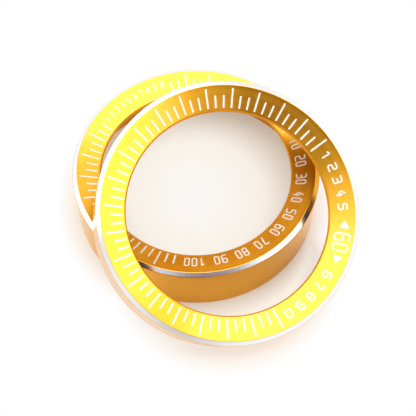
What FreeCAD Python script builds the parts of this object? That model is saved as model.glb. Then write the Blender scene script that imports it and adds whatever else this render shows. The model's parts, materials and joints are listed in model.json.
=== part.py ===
import FreeCAD, Part
import math
import os
import Sketcher

# A pair of turned aluminium instrument bezel rings. One lies flat and one leans on it.
# Millimetres and degrees. Each ring has its own frame: the foot is at z = 0, and its axis is +Z.
# The document's frame is the flat ring's own.

Vector = FreeCAD.Vector
doc = FreeCAD.newDocument("bezel_rings")

sizes = {
    # the turned ring
    "outer_diameter": 105,
    "ring_height": 25.1,
    "skirt_wall": 2.0,
    "band_width": 1.9,          # bare bright band round the face, measured along the radius
    "band_drop": 0.9,           # how far the band falls to the rim
    "face_width": 9.9,          # dished face from the band in to the window, along the radius
    "dish_depth": 3.5,          # how far the face falls from the band to the window
    "lip_thickness": 1.6,       # flange at the window
    "foot_chamfer": 0.4,
    "window_chamfer": 0.3,
    "rim_chamfer": 0.15,
    "inner_corner": 1.2,        # radius between the skirt and the flange, inside
    # foam mounting tape under the flange
    "tape_thickness": 1.0,
    "tape_margin": 1.5,
    # engraved and filled marks
    "mark_depth": 0.2,
    "tick_width": 0.9,
    "tick_margin": 1.4,         # from the window to the ticks
    "short_tick_gap": 3.8,      # from a short tick's outer end to the band
    "long_tick_gap": 1.1,
    "divisions": 84,            # ticks in a full turn
    "long_step": 3,             # every third tick is long
    "lean_scale_start": 51,     # the scales run anticlockwise between these angles
    "lean_scale_end": 309,
    "flat_scale_start": 21,
    "flat_scale_end": 99,
    "flat_second_start": 145,
    "flat_second_end": 254,
    # leaning ring's numbers; an offset is how far outside the face's middle a mark is centred
    "digit_height": 3.8,
    "digit_width": 2.9,
    "digit_stroke": 0.6,
    "digit_offset": 0.35,
    "digit_pitch": 6.85,
    "digit_row_start": 17.9,
    "large_height": 6.2,
    "large_width": 3.4,
    "large_stroke": 0.65,
    "large_offset": 0.65,
    "large_pitch": 5.4,
    "pointer_base": 3.9,
    "pointer_length": 3.3,
    "pointer_offset": 0.95,
    "pointer_angle": 9.0,
    # flat ring's numbers
    "row_height": 4.5,
    "row_width": 2.3,
    "row_stroke": 0.55,
    "row_offset": -0.75,
    "row_pitch": 3.9,
    "row_centre": -43.9,
    "small_height": 2.9,
    "small_width": 1.35,
    "small_stroke": 0.4,
    "small_offset": 0.75,
    "small_pitch": 2.1,
    "small_centre": 122.6,
    # how the rings lie
    "flat_turn": 5.4,
    "lean_turn": -13.0,
    "lean_heading": -67.9,      # the way the leaning ring faces, counted from +X
    "lean_tilt": 23.3,
    "lean_clearance": 0.1,      # between the leaning skirt and the rim, were neither chamfered
}
sheet = doc.addObject("Spreadsheet::Sheet", "Sizes")
for row, (alias, number) in enumerate(sizes.items(), 1):
    sheet.set(f"A{row}", alias)
    sheet.set(f"B{row}", str(number))
    sheet.setAlias(f"B{row}", alias)
doc.recompute()

# Expressions that several pieces share.
rim_radius = "Sizes.outer_diameter / 2"
foot_radius = f"({rim_radius} - Sizes.foot_chamfer)"
skirt_bore = f"({rim_radius} - Sizes.skirt_wall)"
face_radius = f"({rim_radius} - Sizes.band_width)"
window_radius = f"({face_radius} - Sizes.face_width)"
face_middle = f"({face_radius} - Sizes.face_width / 2)"
rim_height = "(Sizes.ring_height - Sizes.band_drop)"
window_height = "(Sizes.ring_height - Sizes.dish_depth)"
flange_seat = f"({window_height} - Sizes.lip_thickness)"
tick_start = f"({window_radius} + Sizes.tick_margin)"
division = "(360 / Sizes.divisions)"

# The leaning ring's lowest foot edge touches z = 0, and its skirt's inner foot edge crosses the
# flat ring's rim at two points. `crossing` is how far uphill of its centre, along its foot, they lie.
foot_lift = f"{foot_radius} * sin(Sizes.lean_tilt)"
crossing = f"(({rim_height} - {foot_lift}) / sin(Sizes.lean_tilt))"
clear_bore = f"({skirt_bore} - Sizes.lean_clearance)"
lean_offset = (f"(sqrt(({rim_radius}) ^ 2 - {clear_bore} ^ 2 + {crossing} ^ 2)"
               f" + {crossing} * cos(Sizes.lean_tilt))")
lean_place = (f"placement(vector({lean_offset} * cos(Sizes.lean_heading);"
              f" {lean_offset} * sin(Sizes.lean_heading); {foot_lift});"
              " rotation(vector(0; 0; 1); Sizes.lean_heading)"
              " * rotation(vector(0; 1; 0); Sizes.lean_tilt)"
              " * rotation(vector(0; 0; 1); Sizes.lean_turn - Sizes.lean_heading))")
flat_place = "placement(vector(0; 0; 0); rotation(vector(0; 0; 1); Sizes.flat_turn))"


def size(expression):
    """The number that an expression of the sheet's sizes gives."""
    return float(sheet.evalExpression(expression))


def face_height(radius):
    """Expression for the dished face's height at a radius."""
    slope = "Sizes.dish_depth / Sizes.face_width"
    return f"(Sizes.ring_height - {slope} * ({face_radius} - ({radius})))"


# ---- sketches and bodies

def new_body(name, place):
    body = doc.addObject("PartDesign::Body", name)
    body.AllowCompound = True
    body.setExpression("Placement", place)
    return body


def origin_feature(body, role):
    return next(item for item in body.Origin.OriginFeatures if item.Role == role)


def new_sketch(body, role, name):
    sketch = body.newObject("Sketcher::SketchObject", name)
    sketch.AttachmentSupport = [(origin_feature(body, role), "")]
    sketch.MapMode = "FlatFace"
    return sketch


def bind_distance(sketch, kind, line, expression):
    """Holds the start of a line at a distance from the sketch's origin."""
    distance = size(expression)
    if abs(distance) < 1e-9:
        axis = -2 if kind == "DistanceX" else -1
        sketch.addConstraint(Sketcher.Constraint("PointOnObject", line, 1, axis))
    elif distance > 0:
        index = sketch.addConstraint(Sketcher.Constraint(kind, -1, 1, line, 1, distance))
        sketch.setExpression(f"Constraints[{index}]", expression)
    else:
        index = sketch.addConstraint(Sketcher.Constraint(kind, line, 1, -1, 1, -distance))
        sketch.setExpression(f"Constraints[{index}]", f"-({expression})")


def add_outline(sketch, corners):
    """Draws a closed outline through corners, each a pair of expressions."""
    points = [Vector(size(across), size(up), 0) for across, up in corners]
    first = sketch.GeometryCount
    for start, end in zip(points, points[1:] + points[:1]):
        sketch.addGeometry(Part.LineSegment(start, end))
    for index, (across, up) in enumerate(corners):
        line = first + index
        following = first + (index + 1) % len(corners)
        sketch.addConstraint(Sketcher.Constraint("Coincident", line, 2, following, 1))
        bind_distance(sketch, "DistanceX", line, across)
        bind_distance(sketch, "DistanceY", line, up)


def turn_round_axis(body, kind, sketch, name):
    """A full Revolution or Groove of a sketch about the body's own Z axis."""
    feature = body.newObject(kind, name)
    feature.Profile = sketch
    feature.ReferenceAxis = (origin_feature(body, "Z_Axis"), [""])
    feature.Angle = 360
    doc.recompute()
    return feature


def ring_edges(feature, places):
    """Names of the circular edges at each (radius, height) pair of expressions."""
    wanted = [(size(radius), size(height)) for radius, height in places]
    names = []
    for index, edge in enumerate(feature.Shape.Edges, 1):
        if not isinstance(edge.Curve, Part.Circle):
            continue
        at = (edge.Curve.Radius, edge.Curve.Center.z)
        if any(math.dist(at, place) < 1e-4 for place in wanted):
            names.append(f"Edge{index}")
    if len(names) != len(wanted):
        raise RuntimeError(f"{feature.Name}: {len(names)} of {len(wanted)} edges found")
    return names


def dress_edges(body, kind, places, expression, name):
    """A Chamfer or Fillet on the circular edges at the places given."""
    base = body.Tip
    feature = body.newObject(kind, name)
    feature.Base = (base, ring_edges(base, places))
    feature.setExpression("Radius" if kind == "PartDesign::Fillet" else "Size", expression)
    doc.recompute()


# ---- the turned ring, before it is engraved

def turned_ring(ring, place):
    body = new_body(f"{ring}_blank", place)
    sketch = new_sketch(body, "XZ_Plane", f"{ring}_section")
    foot_bore = (skirt_bore, "0")
    foot_rim = (rim_radius, "0")
    top_rim = (rim_radius, rim_height)
    band_edge = (face_radius, "Sizes.ring_height")
    window_top = (window_radius, window_height)
    window_back = (window_radius, flange_seat)
    flange_root = (skirt_bore, flange_seat)
    add_outline(sketch, [foot_bore, foot_rim, top_rim, band_edge, window_top, window_back,
                         flange_root])
    turn_round_axis(body, "PartDesign::Revolution", sketch, f"{ring}_turning")
    dress_edges(body, "PartDesign::Fillet", [flange_root], "Sizes.inner_corner",
                f"{ring}_inner_corner")
    dress_edges(body, "PartDesign::Chamfer", [foot_bore, foot_rim], "Sizes.foot_chamfer",
                f"{ring}_foot_chamfer")
    dress_edges(body, "PartDesign::Chamfer", [window_top, window_back], "Sizes.window_chamfer",
                f"{ring}_window_chamfer")
    dress_edges(body, "PartDesign::Chamfer", [top_rim], "Sizes.rim_chamfer",
                f"{ring}_rim_chamfer")
    return body


# ---- ticks

def add_ticks(body, name, first, last, step, gap):
    """Upright bars at every step-th division from first to last, ending a gap short of the band."""
    sketch = new_sketch(body, "XY_Plane", f"{name}_outline")
    half_width = "Sizes.tick_width / 2"
    outer_end = f"{face_radius} - {gap}"
    add_outline(sketch, [(tick_start, f"-{half_width}"), (outer_end, f"-{half_width}"),
                         (outer_end, half_width), (tick_start, half_width)])
    sketch.AttachmentOffset = FreeCAD.Placement(Vector(), FreeCAD.Rotation(Vector(0, 0, 1), 1))
    sketch.setExpression("AttachmentOffset.Rotation.Angle", f"{first} * {division}")
    pad = body.newObject("PartDesign::Pad", f"{name}_bar")
    pad.Profile = sketch
    pad.setExpression("Length", "Sizes.ring_height * 2")
    doc.recompute()
    pattern = body.newObject("PartDesign::PolarPattern", f"{name}_row")
    pattern.Originals = [pad]
    pattern.Axis = (origin_feature(body, "Z_Axis"), [""])
    pattern.Occurrences = (last - first) // step + 1
    pattern.setExpression("Angle", f"{last - first} * {division}")
    body.Tip = pattern
    doc.recompute()


def scale_ticks(ring, place, scales):
    """The filled ticks: bars trimmed to a thin layer just under the dished face."""
    body = new_body(f"{ring}_scale_ticks", place)
    long_step = int(size("Sizes.long_step"))
    for scale in scales:
        first = math.ceil(size(f"Sizes.{scale}_start / {division}"))
        last = math.floor(size(f"Sizes.{scale}_end / {division}"))
        first_long = -(-first // long_step) * long_step
        last_long = last // long_step * long_step
        add_ticks(body, f"{scale}_short", first, last, 1, "Sizes.short_tick_gap")
        add_ticks(body, f"{scale}_long", first_long, last_long, long_step, "Sizes.long_tick_gap")
    sketch = new_sketch(body, "XZ_Plane", f"{ring}_trim")
    floor = [(radius, f"{face_height(radius)} - Sizes.mark_depth")
             for radius in (window_radius, rim_radius)]
    face = [(radius, face_height(radius)) for radius in (window_radius, rim_radius)]
    top = "Sizes.ring_height * 3"
    bottom = "-Sizes.ring_height"
    add_outline(sketch, [(window_radius, bottom), (rim_radius, bottom), floor[1], floor[0]])
    add_outline(sketch, [face[0], face[1], (rim_radius, top), (window_radius, top)])
    turn_round_axis(body, "PartDesign::Groove", sketch, f"{ring}_trimming")
    return body


# ---- numbers, drawn as strokes of one width on a cell 1 wide and 2 high

digit_strokes = {
    "0": [("loop", (0, 0), (1, 0), (1, 2), (0, 2))],
    "1": [("path", (0.15, 1.6), (0.6, 2), (0.6, 0))],
    "2": [("path", (0, 2), (1, 2), (1, 1.05), (0, 1.05), (0, 0), (1, 0))],
    "3": [("path", (0, 2), (1, 2), (1, 0), (0, 0)), ("path", (0.3, 1), (0.9, 1))],
    "4": [("path", (0.55, 2), (0, 0.65), (1, 0.65)), ("path", (0.75, 1.3), (0.75, 0))],
    "5": [("path", (1, 2), (0, 2), (0, 1.1), (1, 1.1), (1, 0), (0, 0))],
    "6": [("path", (1, 2), (0, 2), (0, 0), (1, 0), (1, 0.6)),
          ("path", (1, 0.5), (1, 1.1), (0.1, 1.1))],
    "7": [("path", (0, 2), (1, 2), (0.3, 0))],
    "8": [("loop", (0, 0), (1, 0), (1, 2), (0, 2)), ("path", (0.1, 1.05), (0.9, 1.05))],
    "9": [("path", (0, 0), (1, 0), (1, 2), (0, 2), (0, 1.4)),
          ("path", (0, 1.5), (0, 0.9), (0.9, 0.9))],
}
corner_share = 0.34     # a digit's corner radius over its width
sharpest_corner = 0.05
longest_reach = 0.45    # how much of a side a rounded corner may take


def left_of(direction):
    return Vector(-direction.y, direction.x, 0)


def stroke_side(points, shift, radius, closed):
    """Edges along a line through points, moved left by shift, with rounded corners."""
    joints = []
    for index, corner in enumerate(points):
        arriving = corner - points[index - 1]
        leaving = points[(index + 1) % len(points)] - corner
        shorter = min(arriving.Length, leaving.Length)
        arriving.normalize()
        leaving.normalize()
        if not closed and index == 0:
            arriving = leaving
        if not closed and index == len(points) - 1:
            leaving = arriving
        share = shift / (1 + arriving.dot(leaving))
        moved = corner + (left_of(arriving) + left_of(leaving)) * share
        turn = math.atan2(arriving.cross(leaving).z, arriving.dot(leaving))
        if abs(turn) < 1e-6:
            joints.append((moved, moved, moved))
            continue
        half_turn = math.tan(abs(turn) / 2)
        middle_bend = min(radius, longest_reach * shorter / half_turn)
        bend = max(middle_bend - math.copysign(shift, shift * turn), sharpest_corner)
        reach = bend * half_turn
        inward = (leaving - arriving).normalize()
        middle = moved + inward * (bend / math.cos(turn / 2) - bend)
        joints.append((moved - arriving * reach, middle, moved + leaving * reach))
    edges = []
    for index, (start, middle, end) in enumerate(joints):
        if start.distanceToPoint(end) > 1e-6:
            edges.append(Part.Arc(start, middle, end).toShape())
        following = joints[(index + 1) % len(joints)][0]
        if (closed or index < len(joints) - 1) and end.distanceToPoint(following) > 1e-6:
            edges.append(Part.makeLine(end, following))
    return edges


def loop_face(points, radius, stroke):
    """The flat area of a stroke round a closed loop, drawn anticlockwise."""
    outside = Part.Face(Part.Wire(stroke_side(points, -stroke / 2, radius, True)))
    inside = Part.Face(Part.Wire(stroke_side(points, stroke / 2, radius, True)))
    return outside.cut(inside).Faces[0]


def path_face(points, radius, stroke):
    """The flat area of a stroke along an open path, with round ends."""
    right = stroke_side(points, -stroke / 2, radius, False)
    left = stroke_side(points[::-1], -stroke / 2, radius, False)
    caps = []
    for before, end in ((points[-2], points[-1]), (points[1], points[0])):
        along = (end - before).normalize() * (stroke / 2)
        aside = left_of(along)
        caps.append(Part.Arc(end - aside, end + along, end + aside).toShape())
    return Part.Face(Part.Wire([*right, caps[0], *left, caps[1]]))


def digit_face(digit, height, width, stroke):
    """A digit centred on the origin, its top towards +Y."""
    cell_width = width - stroke
    cell_height = height - stroke
    faces = []
    for kind, *points in digit_strokes[digit]:
        corners = [Vector((across - 0.5) * cell_width, (up / 2 - 0.5) * cell_height, 0)
                   for across, up in points]
        draw = loop_face if kind == "loop" else path_face
        faces.append(draw(corners, corner_share * cell_width, stroke))
    return faces[0].multiFuse(faces[1:]).removeSplitter() if len(faces) > 1 else faces[0]


def place_on_face(shape, radius, angle):
    """Moves a flat shape out to a radius and angle, its top pointing outwards."""
    turn = FreeCAD.Rotation(Vector(0, 0, 1), angle - 90)
    moved = shape.copy()
    moved.Placement = FreeCAD.Placement(turn.multVec(Vector(0, radius, 0)), turn)
    return moved


def number_row(text, style, centre):
    """A row of digits that reads clockwise, centred on an angle."""
    height, width, stroke, pitch = (
        size(f"Sizes.{style}_{name}") for name in ("height", "width", "stroke", "pitch"))
    radius = size(f"{face_middle} + Sizes.{style}_offset")
    start = centre + (len(text) - 1) / 2 * pitch
    return [place_on_face(digit_face(digit, height, width, stroke), radius, start - index * pitch)
            for index, digit in enumerate(text) if digit != " "]


def pointer_faces():
    """Two triangles either side of the large number, each pointing away from it."""
    half_base = size("Sizes.pointer_base") / 2
    half_length = size("Sizes.pointer_length") / 2
    faces = []
    for side in (-1, 1):
        corners = [Vector(side * half_length, half_base, 0), Vector(side * half_length, -half_base, 0),
                   Vector(-side * half_length, 0, 0)]
        face = Part.Face(Part.makePolygon(corners + corners[:1]))
        faces.append(place_on_face(face, size(f"{face_middle} + Sizes.pointer_offset"),
                                   side * size("Sizes.pointer_angle")))
    return faces


def mark_layer():
    """The thin layer under the dished face that every engraved mark is filled to."""
    depth = size("Sizes.mark_depth")
    ends = [(size(radius), size(face_height(radius))) for radius in (window_radius, rim_radius)]
    section = [Vector(ends[0][0], 0, ends[0][1]), Vector(ends[1][0], 0, ends[1][1]),
               Vector(ends[1][0], 0, ends[1][1] - depth), Vector(ends[0][0], 0, ends[0][1] - depth)]
    face = Part.Face(Part.makePolygon(section + section[:1]))
    return face.revolve(Vector(), Vector(0, 0, 1), 360)


def filled_marks(name, place, faces):
    """Filled marks from flat faces, trimmed to the layer under the dished face."""
    layer = mark_layer()
    tall = Vector(0, 0, size("Sizes.ring_height * 2"))
    solids = [solid for face in faces for solid in layer.common(face.extrude(tall)).Solids]
    marks = doc.addObject("Part::Feature", name)
    marks.Shape = Part.makeCompound(solids)
    marks.setExpression("Placement", place)
    doc.recompute()
    return marks


# ---- the engraved ring and its tape

def engraved_ring(ring, blank, marks):
    tools = doc.addObject("Part::Compound", f"{ring}_engraving")
    tools.Links = marks
    cut = doc.addObject("Part::Cut", ring)
    cut.Base = blank
    cut.Tool = tools
    doc.recompute()
    expected = blank.Shape.Volume - sum(mark.Shape.Volume for mark in marks)
    if abs(cut.Shape.Volume - expected) > 0.01 * (blank.Shape.Volume - expected):
        raise RuntimeError(f"{ring}: the engraving did not cut as deep as its marks")
    return cut


def mounting_tape(ring, place):
    body = new_body(f"{ring}_mounting_tape", place)
    sketch = new_sketch(body, "XZ_Plane", f"{ring}_tape_section")
    inner = f"{window_radius} + Sizes.tape_margin"
    outer = f"{skirt_bore} - Sizes.inner_corner - Sizes.tape_margin / 2"
    under = f"{flange_seat} - Sizes.tape_thickness"
    add_outline(sketch, [(inner, under), (outer, under), (outer, flange_seat),
                         (inner, flange_seat)])
    turn_round_axis(body, "PartDesign::Revolution", sketch, f"{ring}_tape_ring")
    return body


# ---- flat ring

flat_blank = turned_ring("flat_ring", flat_place)
flat_ticks = scale_ticks("flat_ring", flat_place, ["flat_scale", "flat_second"])
flat_numbers = filled_marks(
    "flat_ring_numbers", flat_place,
    number_row("10 20 30 40 50 60 70 80 90 100", "row", size("Sizes.row_centre")))
flat_small_numbers = filled_marks(
    "flat_ring_small_numbers", flat_place,
    number_row("1 2 3 4 5 6 7 8 9 0", "small", size("Sizes.small_centre")))
flat_marks = [flat_ticks, flat_numbers, flat_small_numbers]
flat_ring = engraved_ring("flat_ring", flat_blank, flat_marks)
flat_tape = mounting_tape("flat_ring", flat_place)

# ---- leaning ring

lean_blank = turned_ring("leaning_ring", lean_place)
lean_ticks = scale_ticks("leaning_ring", lean_place, ["lean_scale"])
row_middle = size("Sizes.digit_row_start + 2 * Sizes.digit_pitch")
lean_numbers = filled_marks(
    "leaning_ring_numbers", lean_place,
    number_row("12345", "digit", row_middle) + number_row("67890", "digit", -row_middle))
lean_large_number = filled_marks(
    "leaning_ring_large_number", lean_place, number_row("60", "large", 0))
lean_pointers = filled_marks("leaning_ring_pointers", lean_place, pointer_faces())
lean_marks = [lean_ticks, lean_numbers, lean_large_number, lean_pointers]
leaning_ring = engraved_ring("leaning_ring", lean_blank, lean_marks)
lean_tape = mounting_tape("leaning_ring", lean_place)

# ---- check and write

doc.recompute()
for item in doc.Objects:
    if "Invalid" in item.State or "Error" in item.State:
        raise RuntimeError(f"{item.Name} failed: {item.State}")
pieces = [flat_ring, *flat_marks, flat_tape, leaning_ring, *lean_marks, lean_tape]
for piece in pieces:
    if piece.Shape.isNull() or not piece.Shape.isValid():
        raise RuntimeError(f"{piece.Label} has no valid shape")
os.makedirs("parts", exist_ok=True)
for piece in pieces:
    piece.Shape.exportStep(f"parts/{piece.Label}.step")
    print(f"{piece.Label}: {len(piece.Shape.Solids)} solids, {piece.Shape.Volume:.1f} mm3")
print(f"leaning ring's foot centre lies {size(lean_offset):.3f} out, {size(foot_lift):.3f} up")
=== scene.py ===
import json
import math

import bmesh
import bpy
from mathutils import Matrix, Vector


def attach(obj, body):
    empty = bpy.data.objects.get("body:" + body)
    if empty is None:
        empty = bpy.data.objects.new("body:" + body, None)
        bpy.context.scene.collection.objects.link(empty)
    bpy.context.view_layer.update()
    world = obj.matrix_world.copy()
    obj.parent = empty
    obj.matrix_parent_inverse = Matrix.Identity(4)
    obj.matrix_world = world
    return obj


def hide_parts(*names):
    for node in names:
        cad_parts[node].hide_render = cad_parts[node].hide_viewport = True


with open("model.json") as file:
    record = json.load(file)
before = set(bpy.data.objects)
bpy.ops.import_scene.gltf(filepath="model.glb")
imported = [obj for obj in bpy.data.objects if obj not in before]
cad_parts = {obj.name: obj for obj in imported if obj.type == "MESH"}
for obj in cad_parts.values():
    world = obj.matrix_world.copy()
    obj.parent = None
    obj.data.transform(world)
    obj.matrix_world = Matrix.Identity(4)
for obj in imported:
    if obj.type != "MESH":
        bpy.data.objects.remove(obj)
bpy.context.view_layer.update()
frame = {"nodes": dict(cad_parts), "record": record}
scene = bpy.context.scene
mm = 0.001

ring = {                    # the turned ring's section, in millimetres
    "outerRadius": 52.49,
    "height": 25.1,
    "skirtWall": 2.0,
    "bandWidth": 1.9,       # bare bright band round the face
    "bandDrop": 0.9,
    "faceWidth": 9.9,       # dished face, from the band in to the window
    "dishDepth": 3.5,
    "lipThickness": 1.6,
    "innerCorner": 1.2,
    "footChamfer": 0.4,
    "windowChamfer": 0.55,
    "rimChamfer": 0.15,
    "ridgeRadius": 0.35,    # between the face and the band
    "edgeRadius": 0.07,     # every other corner is broken by this much
    "relief": 0.02,         # the face lies this much lower, so that the marks stand proud
    "steps": 320,           # round the ring
    "cornerSteps": 3,
}
ring["faceRadius"] = ring["outerRadius"] - ring["bandWidth"]
ring["windowRadius"] = ring["faceRadius"] - ring["faceWidth"]
ring["rimHeight"] = ring["height"] - ring["bandDrop"]
ring["dishAngle"] = math.atan(ring["dishDepth"] / ring["faceWidth"])


def mountNamed(name):
    return next(mount for mount in frame["record"]["mounts"] if mount["name"] == name)


def leaningPlace():
    mount = mountNamed("leaning_ring_bore")     # its position is the foot's centre
    axis = -Vector(mount["axis"])
    heading = math.atan2(axis.y, axis.x)
    return (Matrix.Translation(mount["pos_m"]) @ Matrix.Rotation(heading, 4, "Z")
            @ Matrix.Rotation(math.acos(axis.z), 4, "Y")
            @ Matrix.Rotation(math.radians(turns["leaning_ring"]) - heading, 4, "Z"))


turns = {"flat_ring": 5.4, "leaning_ring": -13.0}       # how each scale is turned, in degrees
places = {
    "flat_ring": Matrix.Rotation(math.radians(turns["flat_ring"]), 4, "Z"),
    "leaning_ring": leaningPlace(),
}
scales = {                  # first and last division of each stretch of ticks
    "flat_ring": [(5, 23), (34, 59)],
    "leaning_ring": [(12, 72)],
}


# node trees

class Tree:                 # adds nodes to a tree and joins them
    def __init__(self, tree):
        self.tree = tree

    def add(self, kind, inputs=None, **settings):
        node = self.tree.nodes.new(kind)
        for name, value in settings.items():
            setattr(node, name, value)
        for name, value in (inputs or {}).items():
            self.feed(node, name, value)
        return node

    def feed(self, node, name, value):
        socket = node.inputs[name]
        if isinstance(value, bpy.types.Node):
            value = value.outputs[0]
        if isinstance(value, bpy.types.NodeSocket):
            self.tree.links.new(value, socket)
        else:
            socket.default_value = value

    def math(self, operation, first, second=0.0, third=0.0):
        return self.add("ShaderNodeMath", {0: first, 1: second, 2: third}, operation=operation)

    def ramp(self, value, start, end, low=0.0, high=1.0, curve="LINEAR"):
        return self.add("ShaderNodeMapRange", {
            "Value": value, "From Min": start, "From Max": end, "To Min": low, "To Max": high},
            interpolation_type=curve)


def newGroup(name, kind, inputs, outputs):
    tree = bpy.data.node_groups.new(name, kind)
    for label, socketType, value in inputs:
        socket = tree.interface.new_socket(name=label, in_out="INPUT", socket_type=socketType)
        if value is not None:
            socket.default_value = value
    for label, socketType in outputs:
        tree.interface.new_socket(name=label, in_out="OUTPUT", socket_type=socketType)
    nodes = Tree(tree)
    return nodes, nodes.add("NodeGroupInput").outputs, nodes.add("NodeGroupOutput")


# shader groups

grain = {
    "scale": 2500.0,
    "patchScale": 45.0,     # broad, faint patches
}


def grainGroup():           # fine blasted grain: a mask from 0 to 1 and a height
    nodes, given, out = newGroup(
        "blastedGrain", "ShaderNodeTree",
        [("Vector", "NodeSocketVector", None), ("Scale", "NodeSocketFloat", grain["scale"])],
        [("Mask", "NodeSocketFloat"), ("Height", "NodeSocketFloat")])
    fine = nodes.add("ShaderNodeTexNoise", {
        "Vector": given["Vector"], "Scale": given["Scale"], "Detail": 3.0, "Roughness": 0.6})
    broad = nodes.add("ShaderNodeTexNoise", {
        "Vector": given["Vector"], "Scale": grain["patchScale"], "Detail": 2.0, "Roughness": 0.5})
    nodes.feed(out, "Mask", broad)
    nodes.feed(out, "Height", fine)
    return nodes.tree


def turningGroup():         # fine lathe grooves round the axis: a height and a mask
    nodes, given, out = newGroup(
        "turningGrooves", "ShaderNodeTree",
        [("Vector", "NodeSocketVector", None), ("Pitch", "NodeSocketFloat", 0.0001)],
        [("Height", "NodeSocketFloat"), ("Mask", "NodeSocketFloat")])
    parts = nodes.add("ShaderNodeSeparateXYZ", {"Vector": given["Vector"]}).outputs
    squares = nodes.math("ADD", nodes.math("MULTIPLY", parts["X"], parts["X"]),
                         nodes.math("MULTIPLY", parts["Y"], parts["Y"]))
    radius = nodes.math("SQRT", squares)
    along = nodes.math("ADD", radius, parts["Z"])
    turns = nodes.math("DIVIDE", along, given["Pitch"])
    wobble = nodes.add("ShaderNodeTexNoise", {"W": turns, "Scale": 0.21, "Detail": 2.0},
                       noise_dimensions="1D")
    wave = nodes.math("SINE", nodes.math("MULTIPLY", turns, 2 * math.pi))
    nodes.feed(out, "Height", nodes.math("MULTIPLY", wave, wobble))
    nodes.feed(out, "Mask", wobble)
    return nodes.tree


def newMaterial(name, place, **shader):
    material = bpy.data.materials.new(name)
    material.use_nodes = True
    nodes = Tree(material.node_tree)
    principled = material.node_tree.nodes["Principled BSDF"]
    for socket, value in shader.items():
        principled.inputs[socket.replace("_", " ")].default_value = value
    coordinates = nodes.add("ShaderNodeTexCoord").outputs["Object"]
    mapping = nodes.add("ShaderNodeMapping", {
        "Vector": coordinates, "Location": place.to_translation(),
        "Rotation": place.to_euler()}, vector_type="TEXTURE")
    return material, nodes, principled, mapping


gold = {
    "deep": (0.88, 0.425, 0.020, 1.0),
    "light": (0.93, 0.470, 0.030, 1.0),
    "rimTint": (1.0, 0.93, 0.62, 1.0),      # paler gold where it is seen at a slant
    "roughLow": 0.27,
    "roughHigh": 0.41,
    "coat": 0.35,
    "rimCoat": 1.0,         # the clear coat's share at the very edge
    "rimStart": 0.68,       # how far the face turns away before the coat grows
    "rimEnd": 0.93,
    "coatRoughness": 0.12,
    "coatIor": 1.5,
    "grainScale": 9000.0,
    "groovePitch": 0.00022,                 # in metres
    "grooveShare": 0.5,     # of the rings in the colour and roughness, the rest is grain
    "grooveHeight": 0.12,
    "bump": 0.05,
    "bumpDepth": 0.00001,
}
bare = {
    "dull": (0.93, 0.935, 0.95, 1.0),
    "bright": (0.98, 0.985, 0.99, 1.0),
    "roughLow": 0.19,
    "roughHigh": 0.23,
    "groovePitch": 0.00009,
    "bump": 0.02,
    "bumpDepth": 0.00001,
}
enamel = {
    "dull": (0.95, 0.925, 0.80, 1.0),
    "bright": (0.98, 0.965, 0.87, 1.0),
    "roughLow": 0.38,
    "roughHigh": 0.52,
    "coat": 0.15,
    "bump": 0.15,
    "bumpDepth": 0.00003,
}
foam = {
    "dark": (0.02, 0.02, 0.022, 1.0),
    "pale": (0.07, 0.07, 0.072, 1.0),
    "roughLow": 0.75,
    "roughHigh": 0.95,
    "cellScale": 1400.0,
    "bump": 0.6,
    "bumpDepth": 0.0002,
}


def mixed(nodes, mask, low, high):
    return nodes.add("ShaderNodeMix", {0: mask, 6: low, 7: high}, data_type="RGBA").outputs[2]


def ranged(nodes, mask, low, high):
    return nodes.ramp(mask, 0.3, 0.7, low, high)


def addBump(nodes, shader, height, finish):
    nodes.feed(shader, "Normal", nodes.add("ShaderNodeBump", {
        "Height": height, "Strength": finish["bump"], "Distance": finish["bumpDepth"]}))


def goldMaterial(name, place):
    material, nodes, shader, mapping = newMaterial(
        name, place, Metallic=1.0, Specular_Tint=gold["rimTint"],
        Coat_Roughness=gold["coatRoughness"], Coat_IOR=gold["coatIor"])
    blasted = nodes.add("ShaderNodeGroup", {
        "Vector": mapping, "Scale": gold["grainScale"]}, node_tree=groups["grain"]).outputs
    grooves = nodes.add("ShaderNodeGroup", {
        "Vector": mapping, "Pitch": gold["groovePitch"]}, node_tree=groups["grooves"]).outputs
    share = gold["grooveShare"]
    blend = nodes.math("MULTIPLY_ADD", blasted["Mask"], 1.0 - share,
                       nodes.math("MULTIPLY", grooves["Mask"], share))
    nodes.feed(shader, "Base Color",
               mixed(nodes, ranged(nodes, blend, 0.0, 1.0), gold["deep"], gold["light"]))
    nodes.feed(shader, "Roughness", ranged(nodes, blend, gold["roughLow"], gold["roughHigh"]))
    slant = nodes.add("ShaderNodeLayerWeight", {"Blend": 0.5}).outputs["Facing"]
    nodes.feed(shader, "Coat Weight", nodes.ramp(
        slant, gold["rimStart"], gold["rimEnd"], gold["coat"], gold["rimCoat"]))
    height = nodes.math("MULTIPLY_ADD", grooves["Height"], gold["grooveHeight"], blasted["Height"])
    addBump(nodes, shader, height, gold)
    return material


def bareMaterial(name, place):
    material, nodes, shader, mapping = newMaterial(name, place, Metallic=1.0)
    grooves = nodes.add("ShaderNodeGroup", {
        "Vector": mapping, "Pitch": bare["groovePitch"]}, node_tree=groups["grooves"]).outputs
    nodes.feed(shader, "Base Color", mixed(nodes, grooves["Mask"], bare["dull"], bare["bright"]))
    nodes.feed(shader, "Roughness",
               ranged(nodes, grooves["Mask"], bare["roughLow"], bare["roughHigh"]))
    addBump(nodes, shader, grooves["Height"], bare)
    return material


def enamelMaterial(name, place):
    material, nodes, shader, mapping = newMaterial(name, place, Coat_Weight=enamel["coat"])
    speckle = nodes.add("ShaderNodeGroup", {"Vector": mapping}, node_tree=groups["grain"]).outputs
    nodes.feed(shader, "Base Color", mixed(nodes, ranged(nodes, speckle["Mask"], 0.0, 1.0),
                                           enamel["dull"], enamel["bright"]))
    nodes.feed(shader, "Roughness",
               ranged(nodes, speckle["Height"], enamel["roughLow"], enamel["roughHigh"]))
    addBump(nodes, shader, speckle["Height"], enamel)
    return material


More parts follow.
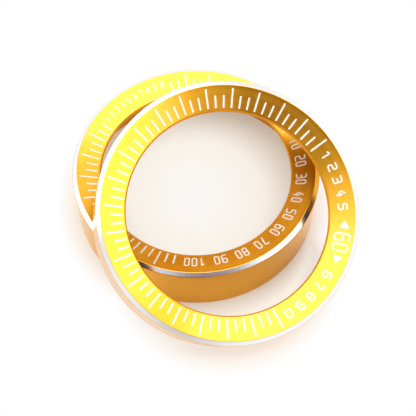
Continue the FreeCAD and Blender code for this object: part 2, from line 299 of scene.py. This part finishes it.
def foamMaterial(name, place):
    material, nodes, shader, mapping = newMaterial(name, place)
    cells = nodes.add("ShaderNodeTexVoronoi", {"Vector": mapping, "Scale": foam["cellScale"]})
    nodes.feed(shader, "Base Color", mixed(nodes, cells, foam["dark"], foam["pale"]))
    nodes.feed(shader, "Roughness", ranged(nodes, cells, foam["roughLow"], foam["roughHigh"]))
    addBump(nodes, shader, cells, foam)
    return material


groups = {"grain": grainGroup(), "grooves": turningGroup()}
makers = {"gold": goldMaterial, "bare": bareMaterial, "enamel": enamelMaterial,
          "foam": foamMaterial}
finishes = {(name, finish): make(f"{finish}_{name}", place)
            for name, place in places.items() for finish, make in makers.items()}
print("materials made:", len(finishes))


# the turned ring: its section is swept round the axis

def ringSection():          # corners as radius, height and corner radius, from the foot outwards
    outer, height = ring["outerRadius"], ring["height"]
    bore = outer - ring["skirtWall"]
    foot, rim, window = ring["footChamfer"], ring["rimChamfer"], ring["windowChamfer"]
    face, inside = ring["faceRadius"], ring["windowRadius"]
    bandAngle = math.atan(ring["bandDrop"] / ring["bandWidth"])
    dish, edge, relief = ring["dishAngle"], ring["edgeRadius"], ring["relief"]
    windowTop = height - ring["dishDepth"] - relief
    seat = height - ring["dishDepth"] - ring["lipThickness"]
    return [
        (bore, foot, edge),
        (bore, seat, ring["innerCorner"]),
        (inside + window, seat, edge),
        (inside, seat + window, edge),
        (inside, windowTop - window, edge),
        (inside + window * math.cos(dish), windowTop + window * math.sin(dish), edge),
        (face, height - relief, ring["ridgeRadius"]),
        (outer - rim * math.cos(bandAngle), ring["rimHeight"] + rim * math.sin(bandAngle), edge),
        (outer, ring["rimHeight"] - rim, edge),
        (outer, foot, edge),
        (outer - foot, 0, edge),
        (bore + foot, 0, edge),
    ]


def sweepTree():
    nodes, given, out = newGroup("turnedRing", "GeometryNodeTree", [
        ("Section", "NodeSocketGeometry", None),
        ("Axis Distance", "NodeSocketFloat", 0.05),
        ("Steps", "NodeSocketInt", 320),
        ("Corner Steps", "NodeSocketInt", 3),
        ("Band Radius", "NodeSocketFloat", 0.05),
        ("Band Height", "NodeSocketFloat", 0.02),
        ("Finish", "NodeSocketMaterial", None),
        ("Band Finish", "NodeSocketMaterial", None),
    ], [("Geometry", "NodeSocketGeometry")])
    line = nodes.add("GeometryNodeMeshToCurve", {"Mesh": given["Section"]})
    corner = nodes.add("GeometryNodeInputNamedAttribute", {"Name": "corner"}, data_type="FLOAT")
    rounded = nodes.add("GeometryNodeFilletCurve", {
        "Curve": line, "Count": given["Corner Steps"], "Radius": corner, "Limit Radius": True},
        mode="POLY")
    spot = nodes.add("ShaderNodeSeparateXYZ", {"Vector": nodes.add("GeometryNodeInputPosition")})
    across = nodes.math("SUBTRACT", spot.outputs["X"], given["Axis Distance"])
    down = nodes.math("MULTIPLY", spot.outputs["Z"], -1.0)
    laid = nodes.add("ShaderNodeCombineXYZ", {"X": across, "Y": down})
    profile = nodes.add("GeometryNodeSetPosition", {"Geometry": rounded, "Position": laid})
    path = nodes.add("GeometryNodeCurvePrimitiveCircle", {
        "Resolution": given["Steps"], "Radius": given["Axis Distance"]})
    swept = nodes.add("GeometryNodeCurveToMesh", {"Curve": path, "Profile Curve": profile})
    smooth = nodes.add("GeometryNodeSetShadeSmooth", {"Geometry": swept})
    finished = nodes.add("GeometryNodeSetMaterial", {
        "Geometry": smooth, "Material": given["Finish"]})
    place = nodes.add("ShaderNodeSeparateXYZ", {"Vector": nodes.add("GeometryNodeInputPosition")})
    flat = nodes.add("ShaderNodeCombineXYZ", {"X": place.outputs["X"], "Y": place.outputs["Y"]})
    radius = nodes.add("ShaderNodeVectorMath", {0: flat}, operation="LENGTH").outputs["Value"]
    outside = nodes.math("GREATER_THAN", radius, given["Band Radius"])
    above = nodes.math("GREATER_THAN", place.outputs["Z"], given["Band Height"])
    band = nodes.add("GeometryNodeSetMaterial", {
        "Geometry": finished, "Selection": nodes.math("MULTIPLY", outside, above),
        "Material": given["Band Finish"]})
    nodes.feed(out, "Geometry", band)
    return nodes.tree


def setInputs(modifier, values):        # by the sockets' identifiers
    for item in modifier.node_group.interface.items_tree:
        if item.item_type == "SOCKET" and item.in_out == "INPUT" and item.name in values:
            modifier[item.identifier] = values[item.name]


def plainMesh(obj, name):               # the evaluated object as a mesh of its own
    graph = bpy.context.evaluated_depsgraph_get()
    mesh = bpy.data.meshes.new_from_object(obj.evaluated_get(graph))
    bpy.data.objects.remove(obj)
    mesh.name = name
    piece = bpy.data.objects.new(name, mesh)
    scene.collection.objects.link(piece)
    return piece


def grown(name, mesh, tree, values, weighted=False):
    obj = bpy.data.objects.new(name + "_making", mesh)
    scene.collection.objects.link(obj)
    modifier = obj.modifiers.new("shape", "NODES")
    modifier.node_group = tree
    setInputs(modifier, values)
    if weighted:
        normals = obj.modifiers.new("normals", "WEIGHTED_NORMAL")
        normals.weight = 100
    return plainMesh(obj, name)


def sectionMesh():
    corners = ringSection()
    count = len(corners)
    mesh = bpy.data.meshes.new("section")
    points = [(radius * mm, 0, height * mm) for radius, height, edge in corners]
    mesh.from_pydata(points, [(i, (i + 1) % count) for i in range(count)], [])
    corner = mesh.attributes.new("corner", "FLOAT", "POINT")
    corner.data.foreach_set("value", [edge * mm for radius, height, edge in corners])
    return mesh


def turnedRing(name, tree):
    piece = grown(name + "_turned", sectionMesh(), tree, {
        "Axis Distance": ring["outerRadius"] * mm,
        "Steps": ring["steps"],
        "Corner Steps": ring["cornerSteps"],
        "Band Radius": (ring["faceRadius"] + ring["ridgeRadius"] * 0.4) * mm,
        "Band Height": (ring["rimHeight"] + ring["rimChamfer"] * 0.5) * mm,
        "Finish": finishes[name, "gold"],
        "Band Finish": finishes[name, "bare"],
    }, weighted=True)
    piece.data.transform(places[name])
    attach(piece, name)
    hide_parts(name)
    return piece


# the scale's ticks

ticks = {
    "width": 0.72,
    "depth": 0.2,
    "margin": 1.3,          # from the window
    "shortGap": 3.8,        # to the band
    "longGap": 1.1,
    "divisions": 84,
    "longStep": 3,
    "corner": 0.1,
}


def tickTree():
    nodes, given, out = newGroup("scaleTicks", "GeometryNodeTree", [
        ("Geometry", "NodeSocketGeometry", None),
        ("First", "NodeSocketInt", 0),
        ("Count", "NodeSocketInt", 12),
        ("Division", "NodeSocketFloat", 0.07),
        ("Long Step", "NodeSocketInt", 3),
        ("Start Radius", "NodeSocketFloat", 0.042),
        ("Short Length", "NodeSocketFloat", 0.0047),
        ("Long Length", "NodeSocketFloat", 0.0074),
        ("Width", "NodeSocketFloat", 0.0009),
        ("Depth", "NodeSocketFloat", 0.0002),
        ("Corner", "NodeSocketFloat", 0.0001),
        ("Dish Angle", "NodeSocketFloat", 0.34),
        ("Start Height", "NodeSocketFloat", 0.022),
        ("Finish", "NodeSocketMaterial", None),
    ], [("Geometry", "NodeSocketGeometry")])

    def bar(length):        # lies along +X from the origin, its top at z = 0
        slant = nodes.math("DIVIDE", length, nodes.math("COSINE", given["Dish Angle"]))
        outline = nodes.add("GeometryNodeCurvePrimitiveQuadrilateral", {
            "Width": slant, "Height": given["Width"]})
        rounded = nodes.add("GeometryNodeFilletCurve", {
            "Curve": outline, "Count": 2, "Radius": given["Corner"]}, mode="POLY")
        filled = nodes.add("GeometryNodeFillCurve", {"Curve": rounded}, mode="NGONS")
        drop = nodes.math("MULTIPLY", given["Depth"], -1.0)
        down = nodes.add("ShaderNodeCombineXYZ", {"Z": drop})
        solid = nodes.add("GeometryNodeExtrudeMesh", {
            "Mesh": filled, "Offset": down, "Individual": False}, mode="FACES")
        both = nodes.add("GeometryNodeJoinGeometry")
        nodes.tree.links.new(nodes.add("GeometryNodeFlipFaces", {"Mesh": solid}).outputs[0],
                             both.inputs[0])
        nodes.tree.links.new(filled.outputs[0], both.inputs[0])
        shifted = nodes.add("GeometryNodeTransform", {
            "Geometry": both,
            "Translation": nodes.add("ShaderNodeCombineXYZ", {"X": nodes.math("MULTIPLY", slant,
                                                                            0.5)})})
        return nodes.add("GeometryNodeMergeByDistance", {
            "Geometry": shifted, "Distance": 1e-6}).outputs[0]

    index = nodes.math("ADD", nodes.add("GeometryNodeInputIndex"), given["First"])
    remainder = nodes.math("MODULO", index, given["Long Step"])
    isLong = nodes.math("LESS_THAN", remainder, 0.5)
    angle = nodes.math("MULTIPLY", index, given["Division"])
    across = nodes.math("MULTIPLY", nodes.math("COSINE", angle), given["Start Radius"])
    ahead = nodes.math("MULTIPLY", nodes.math("SINE", angle), given["Start Radius"])
    spot = nodes.add("ShaderNodeCombineXYZ", {"X": across, "Y": ahead, "Z": given["Start Height"]})
    points = nodes.add("GeometryNodePoints", {"Count": given["Count"], "Position": spot})
    lift = nodes.math("MULTIPLY", given["Dish Angle"], -1.0)
    facing = nodes.add("FunctionNodeEulerToRotation", {
        "Euler": nodes.add("ShaderNodeCombineXYZ", {"Y": lift, "Z": angle})})
    placed = nodes.add("GeometryNodeJoinGeometry")
    for length, chosen in (("Short Length", nodes.math("SUBTRACT", 1.0, isLong)),
                           ("Long Length", isLong)):
        bars = nodes.add("GeometryNodeInstanceOnPoints", {
            "Points": points, "Selection": chosen, "Instance": bar(given[length]),
            "Rotation": facing})
        nodes.tree.links.new(bars.outputs[0], placed.inputs[0])
    real = nodes.add("GeometryNodeRealizeInstances", {"Geometry": placed})
    finished = nodes.add("GeometryNodeSetMaterial", {
        "Geometry": real, "Material": given["Finish"]})
    nodes.feed(out, "Geometry", finished)
    return nodes.tree


def scaleTicks(name, tree):
    start = ring["windowRadius"] + ticks["margin"]
    stretches = []
    for first, last in scales[name]:
        stretches.append(grown(f"{name}_ticks_{first}", bpy.data.meshes.new("blank"), tree, {
            "First": first,
            "Count": last - first + 1,
            "Division": 2 * math.pi / ticks["divisions"],
            "Long Step": ticks["longStep"],
            "Start Radius": start * mm,
            "Short Length": (ring["faceRadius"] - ticks["shortGap"] - start) * mm,
            "Long Length": (ring["faceRadius"] - ticks["longGap"] - start) * mm,
            "Width": ticks["width"] * mm,
            "Depth": ticks["depth"] * mm,
            "Corner": ticks["corner"] * mm,
            "Dish Angle": ring["dishAngle"],
            "Start Height": (ring["height"] - math.tan(ring["dishAngle"])
                             * (ring["faceRadius"] - start)) * mm,
            "Finish": finishes[name, "enamel"],
        }))
    merged = bmesh.new()
    for stretch in stretches:
        merged.from_mesh(stretch.data)
    mesh = stretches[0].data
    merged.to_mesh(mesh)
    merged.free()
    mesh.name = name + "_ticks"
    piece = bpy.data.objects.new(mesh.name, mesh)
    scene.collection.objects.link(piece)
    for stretch in stretches:
        bpy.data.objects.remove(stretch)
    mesh.transform(places[name])
    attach(piece, name)
    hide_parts(name + "_scale_ticks")
    return piece


ringTree, barTree = sweepTree(), tickTree()
for name in places:
    turned = turnedRing(name, ringTree)
    scale = scaleTicks(name, barTree)
    print(name, "faces:", len(turned.data.polygons), "tick faces:", len(scale.data.polygons))


# the frame's own numbers, pointers and tape get their finish

def finishNode(node, finish):
    node.data.materials.clear()
    node.data.materials.append(finish)


for name, node in frame["nodes"].items():
    owner = "leaning_ring" if name.startswith("leaning") else "flat_ring"
    if name.endswith("_tape"):
        finishNode(node, finishes[owner, "foam"])
    elif name not in places:
        finishNode(node, finishes[owner, "enamel"])
    else:
        finishNode(node, finishes[owner, "gold"])
print("frame pieces finished:", len(frame["nodes"]))


# studio

studio = {
    "floorSize": 6.0,
    "floorColor": (0.98, 0.92, 0.80, 1.0),
    "middleLift": 0.86,     # painted light: how much of the shadow the white ground's emission takes away in the middle
    "underLift": 0.3,       # under the flat ring's flange
    "wallLift": 0.3,        # along the foot of its wall
    "windowLift": 0.92,     # in the leaning ring's window
    "edgeLift": 0.42,       # under the leaning ring's edge
    "mirrorShare": 0.45,    # how much of it reflections show
    "clear": 0.03,          # metres from the middle where the shade under the flange starts
    "under": 0.048,
    "wall": 0.062,          # where the shade along its wall ends
    "leaning": (0.012, -0.035, 0.0),           # the middle of the leaning ring's shade
    "window": 0.03,         # metres from there where the light in its window ends
    "edge": 0.04,           # where the shade is darkest
    "white": 0.05,          # and where the white ground starts
    "glow": (1.0, 0.92, 0.81, 1.0),            # painted warm glow on the ground, in place of the light the gold throws on it
    "glowFull": 0.042,      # metres from the middle where the painted glow is full
    "topTint": (1.0, 1.06, 1.45),              # the softbox overhead is a little cool
    "horizon": 1.0,         # brightness of the white walls near the ground
    "room": 0.72,           # and of the tent above them
    "wallEnd": 32.0,        # where the walls start to turn into the tent, in degrees
    "tentStart": 52.0,
    "opening": (0.14, 0.05, 0.03, 1.0),        # the tent's opening on the camera's side
    "openingHeading": -80.0,
    "openingElevation": 47.0,
    "openingInner": 19.0,
    "openingOuter": 30.0,
}
lamps = {                   # brightness, width, depth, place, and where it points
    "top": (2.35, 0.42, 0.48, (0.03, 0.09, 0.475), (0.03, 0.04, 0)),
    "right": (2.2, 1.05, 0.40, (0.69, -0.10, 0.65), (0, 0, 0)),
    "left": (1.15, 0.6, 0.5, (-0.6, 0.02, 0.66), (0, 0, 0)),
    "front": (1.6, 0.4, 0.4, (-0.25, -0.35, 0.6), (0, 0, 0)),
}


def towards(heading, elevation):
    around, up = math.radians(heading), math.radians(elevation)
    return Vector((math.cos(around) * math.cos(up), math.sin(around) * math.cos(up),
                   math.sin(up)))


def addFloor():
    half = studio["floorSize"] / 2
    mesh = bpy.data.meshes.new("floor")
    mesh.from_pydata([(-half, -half, 0), (half, -half, 0), (half, half, 0), (-half, half, 0)], [],
                     [(0, 1, 2, 3)])
    floor = bpy.data.objects.new("floor", mesh)
    scene.collection.objects.link(floor)
    material = bpy.data.materials.new("floorWhite")
    material.use_nodes = True
    nodes = Tree(material.node_tree)
    shader = material.node_tree.nodes["Principled BSDF"]
    shader.inputs["Base Color"].default_value = studio["floorColor"]
    shader.inputs["Roughness"].default_value = 0.9
    shader.inputs["Specular IOR Level"].default_value = 0.0
    rays = nodes.add("ShaderNodeLightPath").outputs
    coordinates = nodes.add("ShaderNodeTexCoord").outputs["Object"]
    distance = nodes.add("ShaderNodeVectorMath", {0: coordinates},
                         operation="LENGTH").outputs["Value"]
    reach = nodes.add("ShaderNodeVectorMath", {0: coordinates, 1: studio["leaning"]},
                      operation="DISTANCE").outputs["Value"]
    # painted light on the ground: white emission set by distance from the rings. It is high in the
    # middle and in the leaning ring's window, and low under the flange, along the wall's foot and
    # under the leaning ring's edge, so the shade that stays there is shaped by this painted light
    inside = nodes.ramp(distance, studio["clear"], studio["under"],
                        studio["middleLift"], studio["underLift"])
    window = nodes.ramp(reach, studio["window"], studio["edge"],
                        studio["windowLift"], studio["edgeLift"])
    around = nodes.ramp(reach, studio["edge"], studio["white"], studio["edgeLift"])
    foot = nodes.ramp(distance, ring["outerRadius"] * mm, studio["wall"], studio["wallLift"])
    outside = nodes.math("MINIMUM", foot, nodes.math("MAXIMUM", window, around))
    wallMiddle = (ring["outerRadius"] - ring["skirtWall"] / 2) * mm
    beyond = nodes.math("GREATER_THAN", distance, wallMiddle)
    fade = nodes.math("MAXIMUM", inside, nodes.math("MULTIPLY", outside, beyond))
    # painted warm glow: the ground's white emission is tinted near the flat ring and in the
    # leaning ring's window
    rise = nodes.ramp(distance, 0.0, studio["glowFull"])
    fall = nodes.ramp(reach, studio["window"], studio["edge"], 1.0, 0.0)
    within = nodes.math("SUBTRACT", 1.0, beyond)
    glow = nodes.math("MULTIPLY", rise, nodes.math("MAXIMUM", within, fall))
    direct = nodes.math("MAXIMUM", rays["Is Camera Ray"], rays["Is Transmission Ray"])
    mirrored = nodes.math("MULTIPLY", rays["Is Glossy Ray"], studio["mirrorShare"])
    lift = nodes.math("MULTIPLY", fade, nodes.math("MAXIMUM", direct, mirrored))
    white = nodes.add("ShaderNodeEmission", {"Strength": 1.0})
    nodes.feed(white, "Color", mixed(nodes, glow, (1.0, 1.0, 1.0, 1.0), studio["glow"]))
    ground = nodes.add("ShaderNodeMixShader", {0: lift, 1: shader, 2: white})
    nodes.feed(material.node_tree.nodes["Material Output"], "Surface", ground)
    mesh.materials.append(material)


def addLamp(name, brightness, width, depth, place, target):
    light = bpy.data.lights.new(name, "AREA")
    light.shape = "ELLIPSE" if name == "top" else "RECTANGLE"
    light.size, light.size_y = width, depth
    area = width * depth * (math.pi / 4 if light.shape == "ELLIPSE" else 1)
    light.energy = brightness * area * math.pi
    if name == "top":
        light.color = studio["topTint"]
    lamp = bpy.data.objects.new(name, light)
    scene.collection.objects.link(lamp)
    lamp.visible_diffuse = name != "top"        # the softbox overhead only shines in the metal
    lamp.visible_glossy = name != "front"       # and the one in front only fills
    lamp.location = place
    lamp.rotation_euler = (Vector(place) - Vector(target)).to_track_quat("Z", "Y").to_euler()


def addRoom():              # a white tent with a darker opening where the camera stands
    world = bpy.data.worlds.new("room")
    scene.world = world
    world.use_nodes = True
    nodes = Tree(world.node_tree)
    direction = nodes.add("ShaderNodeTexCoord").outputs["Generated"]
    height = nodes.add("ShaderNodeSeparateXYZ", {"Vector": direction}).outputs["Z"]
    tent = nodes.ramp(height, math.sin(math.radians(studio["wallEnd"])),
                      math.sin(math.radians(studio["tentStart"])),
                      studio["horizon"], studio["room"], "SMOOTHSTEP")
    middle = towards(studio["openingHeading"], studio["openingElevation"])
    nearness = nodes.add("ShaderNodeVectorMath", {0: direction, 1: middle},
                         operation="DOT_PRODUCT").outputs["Value"]
    opening = nodes.ramp(nearness, math.cos(math.radians(studio["openingOuter"])),
                         math.cos(math.radians(studio["openingInner"])), curve="SMOOTHSTEP")
    nodes.feed(world.node_tree.nodes["Background"], "Color",
               mixed(nodes, opening, tent, studio["opening"]))


addFloor()
addRoom()
for name, sizes in lamps.items():
    addLamp(name, *sizes)

view = {
    "back": 0.21463,        # metres from the flat ring's axis
    "height": 0.36012,
    "yaw": 1.422,
    "pitch": 59.957,
    "roll": 0.907,
    "lens": 80.964,
    "sensor": 36.0,
}
lens = bpy.data.cameras.new("view")
lens.lens = view["lens"]
lens.sensor_width = view["sensor"]
camera = bpy.data.objects.new("view", lens)
scene.collection.objects.link(camera)
camera.location = (0, -view["back"], view["height"])
camera.rotation_euler = (Matrix.Rotation(-math.radians(view["yaw"]), 3, "Z")
                         @ Matrix.Rotation(math.radians(90 - view["pitch"]), 3, "X")
                         @ Matrix.Rotation(math.radians(view["roll"]), 3, "Z")).to_euler()
scene.camera = camera
scene.view_settings.view_transform = "Standard"
print("studio and camera set")
